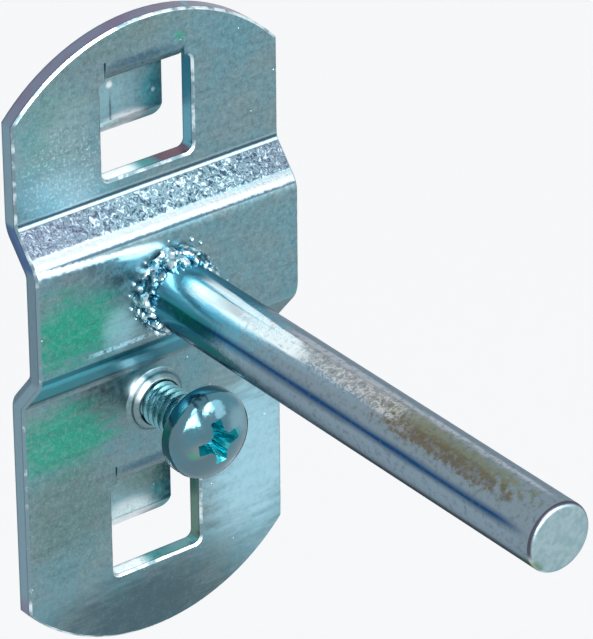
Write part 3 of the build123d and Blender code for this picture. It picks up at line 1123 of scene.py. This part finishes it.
less_brown = soft_step(tree, at_lower, 0.0, 1.0, 1.0, LOWER_BROWN_SHARE)
brown_share = all_of(tree, soft_step(tree, places["X"], *FLOOR_BROWN_FADE), less_brown)
to_teal = soft_step(tree, places["X"], *FLOOR_TEAL_FADE)
floor_colour = layered(tree, BRIGHT, (to_teal, FLOOR_TEAL), (brown_share, FLOOR_BROWN))
inside = band(tree, places["X"], -WINDOW_HALF, WINDOW_HALF, INSIDE_SOFT)
for hook in hooks:
    height = hook / MM - WINDOW_FLOOR
    at_height = band(tree, places["Z"], height - FLOOR_REACH, height + FLOOR_REACH, FLOOR_SOFT)
    wall_colour = mix_colours(tree, all_of(tree, at_height, inside), wall_colour, floor_colour)
under_burr = all_of(tree, band(tree, depth, *UNDER_BURR), UNDER_BURR_SHARE)
at_back = soft_step(tree, depth, *BACK_FADE)
wall_colour = layered(tree, wall_colour, (under_burr, WALL_DARK), (at_back, WALL_DARK))
print("coloured the floors of", len(hooks), "windows")

# %% Add the burr and finish the plate
BURR = tone(210, 226, 232)
BURR_DULL = tone(118, 144, 154)
BURR_SCALE = 0.9
BURR_EDGE = (0.44, 0.66)
ARC_SHINE = 0.12
LEFT_EDGE_FADE = (-10.0, -11.0)
BELOW_BEND_FADE = (-12.0, -14.0)
LEFT_DULLING = 0.14
TIP_FADE = (1.6, 0.0)
PLATE_ROUGHNESS = (0.3, 0.42)
PLATE_GRAIN_HEIGHT = 0.016
NODULE_HEIGHT = 0.04
CRINKLE_HEIGHT = 0.03
SHEAR_HEIGHT = 0.02

wall = mesh_mask(tree, "sheared_wall")
burr_noise = noise_value(tree, position, BURR_SCALE, detail=3.0)
below_bend = soft_step(tree, places["Z"], *BELOW_BEND_FADE)
at_left = all_of(tree, soft_step(tree, places["X"], *LEFT_EDGE_FADE), below_bend)
shine = sums(tree, "ADD", burr_noise, all_of(tree, on_arcs, ARC_SHINE))
shine = sums(tree, "SUBTRACT", shine, all_of(tree, at_left, LEFT_DULLING))
# The burr's colour is partly burnished metal and partly a painted highlight.
burr_and_highlight = mix_colours(tree, soft_step(tree, shine, *BURR_EDGE), BURR_DULL, BURR)
tip = all_of(tree, mesh_mask(tree, "rubbed_tip"), soft_step(tree, places["X"], *TIP_FADE))
colour = layered(
    tree,
    colour,
    (mesh_mask(tree, "rolled_rim"), burr_and_highlight),
    (wall, wall_colour),
    (tip, BRIGHT),
)
plug(tree, shader.inputs["Base Color"], colour)
plug(tree, shader.inputs["Roughness"], soft_step(tree, film["Grain"], *NOISE_SPAN, *PLATE_ROUGHNESS))
raise_surface(
    tree,
    shader,
    (film["Grain"], PLATE_GRAIN_HEIGHT),
    (film["Nodules"], NODULE_HEIGHT),
    (all_of(tree, crinkle, crinkled), CRINKLE_HEIGHT),
    (all_of(tree, lines, wall), SHEAR_HEIGHT),
)
plate.data.materials.append(plate_finish)
print("plate finish has", len(tree.nodes), "nodes")

# %% [markdown]
# ## The rod's finish
# The rod is drawn bar. Its place round the axis, in degrees from the top, and its distance from the root
# are worked out from the rod's own coordinates, so that each mark can be laid where the real one is. Near
# the root the plating is fresh and mirrors the plate, with painted shade at its left side and two bright
# painted highlights on top. Further out it is rubbed to a satin grey, with a thin dark blue painted
# reflection along its left side, pale bands of painted highlight and fine light curls on top, and an olive
# and brown patch where tools have rubbed. Painted shade darkens its lower left edge. The underside is
# clean and pale, and so is the end face. The end's rim has a painted highlight below and painted shade
# above, with a trace of green below.

# %% Map the rod
ROD_LINES = (1.6, 0.1, 1.6)
SPECKLE_SCALE = 1.5
LINE_WAVER = 3.0
OUT_WAVER = 4.0


def patch(tree, turn, round_axis, out, along, soft):
    """A mask between two turns round the axis and two distances from the root, with a soft width each."""
    return all_of(tree, band(tree, turn, *round_axis, soft[0]), band(tree, out, *along, soft[1]))


rod_finish, tree, shader, position, film = new_finish("rod_plating")
lines = use_group(tree, drawn, {"Position": position, "Stretch": ROD_LINES})["Lines"]
places = split(tree, position)
out = sums(tree, "SUBTRACT", rod_high.y / MM, places["Y"])
above_axis = sums(tree, "SUBTRACT", places["Z"], ROD_HEIGHT / MM)
turn = all_of(tree, sums(tree, "ARCTAN2", places["X"], above_axis), degrees(1))
speckle = noise_value(tree, position, SPECKLE_SCALE, detail=3.0, roughness=0.6)
wavering = sums(tree, "ADD", turn, soft_step(tree, lines, *NOISE_SPAN, -LINE_WAVER, LINE_WAVER))
ragged_out = sums(tree, "ADD", out, soft_step(tree, speckle, *WIDE_SPAN, -OUT_WAVER, OUT_WAVER))
rod_length = (rod_high.y - rod_low.y) / MM
print("rod is", round(rod_length, 2), "mm long")

# %% Lay the marks along the rod
ROD_FRESH = tone(96, 160, 178)
ROD_SATIN = tone(124, 142, 152)
ROD_PALE_HIGHLIGHT = tone(184, 190, 198)
ROD_SKY = tone(146, 184, 200)
ROD_COOL = tone(130, 150, 164)
ROD_SHADE = tone(36, 80, 100)
ROD_BEIGE_HIGHLIGHT = tone(160, 160, 160)
ROD_GREY = tone(140, 142, 142)
ROD_BLUISH = tone(116, 132, 146)
# Bands of tint round the axis, with painted light among them: the shade near the root is painted shade, and
# the beige and pale bands on top are painted highlight.
ROD_TINTS_AND_LIGHT = [
    (ROD_SATIN, (55, 190), (2.5, 24.0), 0.6),
    (ROD_SKY, (-62, 0), (0.4, 2.6), 0.6),
    (ROD_SHADE, (-87, -68), (1.0, 10.0), 0.8),
    (ROD_SKY, (-43, -30), (6.0, 17.0), 0.8),
    (ROD_COOL, (-107, -80), (9.5, 48.5), 0.85),
    (ROD_COOL, (-44, -26), (15.0, 31.0), 0.8),
    (ROD_BEIGE_HIGHLIGHT, (-28, 4), (17.0, 31.0), 0.8),
    (ROD_GREY, (-42, 2), (29.0, 37.0), 0.75),
    (ROD_PALE_HIGHLIGHT, (3, 13), (16.0, 48.0), 0.75),
    (ROD_BLUISH, (20, 60), (9.0, 49.0), 0.85),
]
MARK_SOFT = (3.5, 1.8)
MARK_SPOTS = (0.3, 0.55, 0.65, 1.0)
FRESH_UNTIL = (8.0, 19.0)

worn = soft_step(tree, ragged_out, *FRESH_UNTIL)
colour = mix_colours(tree, worn, ROD_FRESH, ROD_SATIN)
uneven = soft_step(tree, film["Grain"], *MARK_SPOTS)
for tint, round_axis, along, strength in ROD_TINTS_AND_LIGHT:
    place = patch(tree, wavering, round_axis, out, along, MARK_SOFT)
    colour = mix_colours(tree, all_of(tree, place, uneven, strength), colour, tint)
print("laid", len(ROD_TINTS_AND_LIGHT), "marks along the rod")

# %% Rub the rod where tools hang
ROD_OLIVE = tone(118, 124, 100)
ROD_BROWN = tone(98, 88, 68)
ROD_RUBS = [
    (ROD_OLIVE, (-30, 0), (32.0, 46.0), 0.9),
    (ROD_BROWN, (-46, -18), (31.0, 45.0), 0.85),
]
MOTTLE_SCALE = 2.0
TURN_WAVER = 10.0
RUB_SOFT = (6.0, 2.5)
RUB_SPOTS = (0.34, 0.58, 0.5, 1.0)

mottle = noise_value(tree, position, MOTTLE_SCALE, detail=4.0, roughness=0.7)
ragged_turn = sums(tree, "ADD", wavering, soft_step(tree, mottle, *WIDE_SPAN, -TURN_WAVER, TURN_WAVER))
spotted = soft_step(tree, mottle, *RUB_SPOTS)
for tint, round_axis, along, strength in ROD_RUBS:
    place = patch(tree, ragged_turn, round_axis, ragged_out, along, RUB_SOFT)
    colour = mix_colours(tree, all_of(tree, place, spotted, strength), colour, tint)
print("rubbed", len(ROD_RUBS), "patches of the rod")

# %% Draw the painted dark reflection and highlights
ROD_DARK_REFLECTION = tone(8, 62, 108)
ROD_STREAK = tone(244, 250, 252)
REFLECTION_WAVER = 1.2
REFLECTION_ALONG = (8.0, 47.5)
REFLECTION_END_SOFT = 2.5
DARK_REFLECTION_BANDS = [
    ((-78.0, -62.0), 5.0, 0.5),
    ((-73.0, -67.0), 3.0, 0.95),
]
STREAK_START = 4.5
STREAK_TURN = 1.0
STREAK_DRIFT = -0.8
RIGHT_STREAK = (-7.0, 7.0)
RIGHT_ALONG = (5.0, 18.5)
RIGHT_SOFT = (3.0, 1.5)
LEFT_STREAK = (-36.0, -13.0)
LEFT_ALONG = (4.8, 19.5)
LEFT_SOFT = (3.5, 1.5)
STREAK_SHARE = 0.95

# A thin dark band along the left side is a painted reflection.
steady = sums(tree, "ADD", turn, soft_step(tree, lines, *NOISE_SPAN, -REFLECTION_WAVER, REFLECTION_WAVER))
for round_axis, soft, strength in DARK_REFLECTION_BANDS:
    run = patch(tree, steady, round_axis, out, REFLECTION_ALONG, (soft, REFLECTION_END_SOFT))
    colour = mix_colours(tree, all_of(tree, run, strength), colour, ROD_DARK_REFLECTION)
# The two streaks on top are painted highlights, whiter and less metallic than the rest.
drift = all_of(tree, sums(tree, "SUBTRACT", out, STREAK_START), STREAK_DRIFT)
from_streak = sums(tree, "SUBTRACT", wavering, sums(tree, "ADD", drift, STREAK_TURN))
right_streak = patch(tree, from_streak, RIGHT_STREAK, out, RIGHT_ALONG, RIGHT_SOFT)
left_streak = patch(tree, wavering, LEFT_STREAK, out, LEFT_ALONG, LEFT_SOFT)
painted_highlight = sums(tree, "MAXIMUM", left_streak, right_streak)
colour = mix_colours(tree, all_of(tree, painted_highlight, STREAK_SHARE), colour, ROD_STREAK)
# The bands counted here are the painted dark reflection.
print("drew the run of film in", len(DARK_REFLECTION_BANDS), "bands, and two streaks")

# %% Add the curls and the underside
ROD_SHADE_AND_WEAR_DARK = tone(84, 96, 106)
ROD_CLEAN = tone(232, 238, 241)
CURL_SCALE = 1.0
CURL_LINES = (0.5, 0.6, 0.06)
CURL_PLACE = (-33.0, -3.0)
CURL_ALONG = (17.0, 32.0)
CURL_SOFT = (4.0, 2.5)
CURL_SHARE = 0.42
CLEAN_FROM = (140.0, 148.0)
BELOW = (-140.0, -114.0, 5.0)
UNDER_SHADE_SHARE = 0.9
WORN_SPOTS = (0.52, 0.3, 0.0, 0.45)

curl_noise = noise_value(tree, position, CURL_SCALE, detail=1.0, distortion=2.2)
curl_zone = patch(tree, wavering, CURL_PLACE, out, CURL_ALONG, CURL_SOFT)
off_top = sums(tree, "ABSOLUTE", turn)
below = band(tree, turn, *BELOW)
# The band below is painted shade along the lower left edge, and the same dark marks worn grain spots.
colour = layered(
    tree,
    colour,
    (all_of(tree, band(tree, curl_noise, *CURL_LINES), curl_zone, CURL_SHARE), ROD_STREAK),
    (soft_step(tree, off_top, *CLEAN_FROM), ROD_CLEAN),
    (all_of(tree, below, UNDER_SHADE_SHARE), ROD_SHADE_AND_WEAR_DARK),
    (all_of(tree, worn, soft_step(tree, film["Grain"], *WORN_SPOTS)), ROD_SHADE_AND_WEAR_DARK),
)
print("curls and underside added, with", len(tree.nodes), "nodes so far")

# %% Finish the rod
ROD_GREEN = tone(86, 120, 66)
ROD_END = tone(156, 180, 186)
ROD_END_DULL = tone(138, 166, 173)
ROD_RIM_HIGHLIGHT = tone(206, 224, 226)
ROD_RIM_SHADE = tone(74, 70, 86)
ROD_EDGE_TINT = (0.6, 0.65, 0.7, 1.0)
END_FADE = (0.3, 0.1)
END_SPOTS = (0.35, 0.65)
END_RIM = (0.12, 0.42, 0.06)
END_RIM_SHARE = 0.9
LOWER_RIM = (96.0, 120.0)
NEAR_END = (2.5, 0.6)
GREEN_REACH = (2.3, 2.8)
GREEN_SHARE = 0.6
ROD_POLISH = (0.13, 0.3)
GRAIN_POLISH = 0.08
STREAK_METAL = 0.4
DRAWN_HEIGHT = 0.02
ROD_GRAIN_HEIGHT = 0.01
SPECKLE_HEIGHT = 0.012

before_end = sums(tree, "SUBTRACT", rod_length, out)
end_colour = mix_colours(tree, soft_step(tree, speckle, *END_SPOTS), ROD_END_DULL, ROD_END)
# The end's rim has a painted highlight below and painted shade above.
rim_highlight_and_shade = mix_colours(tree, soft_step(tree, off_top, *LOWER_RIM), ROD_RIM_SHADE, ROD_RIM_HIGHLIGHT)
across = add_node(tree, "ShaderNodeCombineXYZ", {"X": places["X"], "Y": above_axis}).outputs["Vector"]
outermost = soft_step(tree, vectors(tree, "LENGTH", across), *GREEN_REACH)
near_end = soft_step(tree, before_end, *NEAR_END)
colour = layered(
    tree,
    colour,
    (soft_step(tree, before_end, *END_FADE), end_colour),
    (all_of(tree, band(tree, before_end, *END_RIM), END_RIM_SHARE), rim_highlight_and_shade),
    (all_of(tree, near_end, below, outermost, GREEN_SHARE), ROD_GREEN),
)
plug(tree, shader.inputs["Base Color"], colour)
satin = soft_step(tree, worn, 0.0, 1.0, *ROD_POLISH)
plug(tree, shader.inputs["Roughness"], sums(tree, "ADD", satin, all_of(tree, film["Grain"], GRAIN_POLISH)))
shader.inputs["Specular Tint"].default_value = ROD_EDGE_TINT
plug(tree, shader.inputs["Metallic"], soft_step(tree, painted_highlight, 0.0, 1.0, 1.0, STREAK_METAL))
raise_surface(
    tree,
    shader,
    (lines, DRAWN_HEIGHT),
    (film["Grain"], ROD_GRAIN_HEIGHT),
    (all_of(tree, speckle, worn), SPECKLE_HEIGHT),
)
rod.data.materials.append(rod_finish)
print("rod finish has", len(tree.nodes), "nodes")

# %% [markdown]
# ## The weld's finish
# Zinc lies thick and glossy on the weld. Its crests get a painted glint, and the hollows between them
# painted shade.
# The vertex attribute that was kept when the bead was shaped tells the two apart.

# %% Finish the weld
WELD_GLINT_HIGHLIGHT = tone(182, 206, 216)
WELD_MIDDLE = tone(112, 152, 166)
WELD_HOLLOW_SHADE = tone(48, 96, 116)
WELD_GRIT_SCALE = 2.4
WELD_GRIT_SHARE = 0.12
HOLLOW_EDGE = (-0.16, 0.0)
CREST_EDGE = (0.0, 0.14)
WELD_ROUGHNESS = (0.1, 0.24)
WELD_GRIT_HEIGHT = 0.06
WELD_GRAIN_HEIGHT = 0.02

weld_finish, tree, shader, position, film = new_finish("weld_plating")
grit = noise_value(tree, position, WELD_GRIT_SCALE, detail=3.0, roughness=0.6)
gritty = soft_step(tree, grit, *NOISE_SPAN, -WELD_GRIT_SHARE, WELD_GRIT_SHARE)
crest = sums(tree, "ADD", mesh_mask(tree, "crest"), gritty)
# Hollows get painted shade, and crests a painted glint.
colour = mix_colours(tree, soft_step(tree, crest, *HOLLOW_EDGE), WELD_HOLLOW_SHADE, WELD_MIDDLE)
colour = mix_colours(tree, soft_step(tree, crest, *CREST_EDGE), colour, WELD_GLINT_HIGHLIGHT)
plug(tree, shader.inputs["Base Color"], colour)
plug(tree, shader.inputs["Roughness"], soft_step(tree, film["Grain"], *NOISE_SPAN, *WELD_ROUGHNESS))
raise_surface(tree, shader, (grit, WELD_GRIT_HEIGHT), (film["Grain"], WELD_GRAIN_HEIGHT))
weld.data.materials.append(weld_finish)
print("weld finish has", len(tree.nodes), "nodes")

# %% [markdown]
# ## The screw's finish
# The screw is plated in a barrel, which leaves it smooth and bright. Its head has a few faint stains of
# film and two pale patches of painted highlight, measured from the middle of its top. The thread is teal
# and a little rougher, and the film pools in the cross recess, where it turns a deep teal.

# %% Finish the screw
SCREW_GREY = tone(94, 118, 128)
SCREW_BLUE = tone(80, 132, 148)
RECESS_TEAL = tone(60, 170, 180)
THREAD_TEAL = tone(108, 160, 170)
HEAD_BEIGE = tone(136, 148, 140)
HEAD_GREEN = tone(66, 160, 128)
HEAD_PAINTED_HIGHLIGHT = tone(140, 182, 194)
HEAD_STREAKS = (0.8, 0.8, 0.8)
HEAD_STAINS_AND_HIGHLIGHTS = [
    (HEAD_BEIGE, (-1.9, 0.5, -0.2), (1.5, 1.5, 1.1), 0.8, 0.6),
    (HEAD_GREEN, (-2.5, 0.6, -0.6), (0.6, 1.0, 0.5), 0.8, 0.6),
    # The two pale rows are painted highlights.
    (HEAD_PAINTED_HIGHLIGHT, (2.2, 0.6, 1.3), (1.7, 1.5, 1.8), 0.8, 0.6),
    (HEAD_PAINTED_HIGHLIGHT, (1.9, 1.3, -2.7), (1.5, 1.2, 0.7), 0.8, 0.8),
]
THREAD_START = under_head_y / MM
THREAD_FADE = 0.1
SCREW_ROUGHNESS = (0.08, 0.18)
THREAD_ROUGHER = 0.12
SCREW_GRAIN_HEIGHT = 0.012

screw_finish, tree, shader, position, film = new_finish("screw_plating")
from_top = vectors(tree, "SUBTRACT", position, (0, top_y / MM, SCREW_HEIGHT / MM))
on_thread = soft_step(tree, split(tree, position)["Y"], THREAD_START, THREAD_START + THREAD_FADE)
colour = mix_colours(tree, film["Cloud"], SCREW_GREY, SCREW_BLUE)
colour = paint_stains_and_light(tree, from_top, colour, HEAD_STAINS_AND_HIGHLIGHTS, HEAD_STREAKS)
colour = layered(tree, colour, (on_thread, THREAD_TEAL), (mesh_mask(tree, "recess"), RECESS_TEAL))
plug(tree, shader.inputs["Base Color"], colour)
polish = soft_step(tree, film["Grain"], *NOISE_SPAN, *SCREW_ROUGHNESS)
plug(tree, shader.inputs["Roughness"], sums(tree, "ADD", polish, all_of(tree, on_thread, THREAD_ROUGHER)))
raise_surface(tree, shader, (film["Grain"], SCREW_GRAIN_HEIGHT))
screw.data.materials.append(screw_finish)
print("screw finish has", len(tree.nodes), "nodes")

# %% [markdown]
# ## The studio
# Metal shows what stands round it, so the light is mostly large soft surfaces. A white room and a pale
# floor well below the object show every colour about as it is written. Three softboxes stand at the
# front. The bright ones at the left and in the middle draw the shine on the bend and on the screw's head,
# and a weaker one stands at the right. A fourth hangs above the front. They are turned off for matt
# surfaces, so that they brighten reflections and not the floor. A dark mat lies behind and below for the
# rod's underside. It is seen in reflections alone and casts no shadow.

# %% Studio helpers
OBJECT_CENTRE = Vector((0, -20, -22)) * MM
STUDIO_ROUGHNESS = 0.9
SOFTBOX_DISTANCE = 0.7


def plain_material(name, colour):
    """A matt material of one colour for the studio."""
    material = bpy.data.materials.new(name)
    material.use_nodes = True
    shader = material.node_tree.nodes["Principled BSDF"]
    shader.inputs["Base Color"].default_value = colour
    shader.inputs["Roughness"].default_value = STUDIO_ROUGHNESS
    return material


def stage_sheet(name, width, depth, place, material):
    """A flat rectangle of the studio, which isn't part of the object."""
    bm = bmesh.new()
    bmesh.ops.create_grid(bm, x_segments=1, y_segments=1, size=0.5)
    bmesh.ops.scale(bm, vec=(width, depth, 1), verts=bm.verts)
    bmesh.ops.translate(bm, vec=place, verts=bm.verts)
    sheet = place_mesh(name, bm)
    sheet.data.materials.append(material)
    return sheet


def softbox(name, away, width, height, radiance):
    """A rectangular soft light of a given brightness, turned to the object and seen in gloss alone."""
    lamp = bpy.data.lights.new(name, "AREA")
    lamp.shape = "RECTANGLE"
    lamp.size = width
    lamp.size_y = height
    lamp.energy = radiance * pi * width * height
    light = bpy.data.objects.new(name, lamp)
    light.location = OBJECT_CENTRE + away * SOFTBOX_DISTANCE
    light.rotation_mode = "QUATERNION"
    light.rotation_quaternion = (-away).to_track_quat("-Z", "Y")
    light.visible_diffuse = False
    bpy.context.scene.collection.objects.link(light)


print("studio helpers ready")

# %% Build the studio
FLOOR_DROP = 150 * MM
FLOOR_SIZE = 4.0
FLOOR_PALE = (0.95, 0.955, 0.96, 1.0)
WORLD_WHITE = (0.98, 0.99, 1.0, 1.0)
MAT_DARK = (0.05, 0.07, 0.08, 1.0)
MAT_SIZE = (0.45, 0.34)
MAT_PLACE = Vector((0.215, 0.23, -0.2))
SOFTBOXES = [
    ("front_left_softbox", radians(-15), radians(18), 0.4, 0.32, 11.0),
    ("front_middle_softbox", radians(15), radians(29), 0.31, 0.3, 11.0),
    ("front_right_softbox", radians(38), radians(20), 0.22, 0.46, 1.8),
    ("top_softbox", radians(-4), radians(50), 0.45, 0.3, 7.0),
]

floor_place = Vector((0, 0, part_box("mounting_plate")[0].z - FLOOR_DROP))
stage_sheet("floor", FLOOR_SIZE, FLOOR_SIZE, floor_place, plain_material("pale_floor", FLOOR_PALE))
mat = stage_sheet("dark_mat", *MAT_SIZE, MAT_PLACE, plain_material("mat_dark", MAT_DARK))
mat.visible_camera = False
mat.visible_diffuse = False
mat.visible_shadow = False
for name, turned, raised, width, height, radiance in SOFTBOXES:
    softbox(name, direction(turned, raised), width, height, radiance)

world = bpy.data.worlds.new("soft_room")
world.use_nodes = True
background = world.node_tree.nodes["Background"]
background.inputs["Color"].default_value = WORLD_WHITE
background.inputs["Strength"].default_value = 1.0
bpy.context.scene.world = world
bpy.context.scene.view_settings.view_transform = "Standard"
print("studio built with", len(SOFTBOXES), "softboxes")
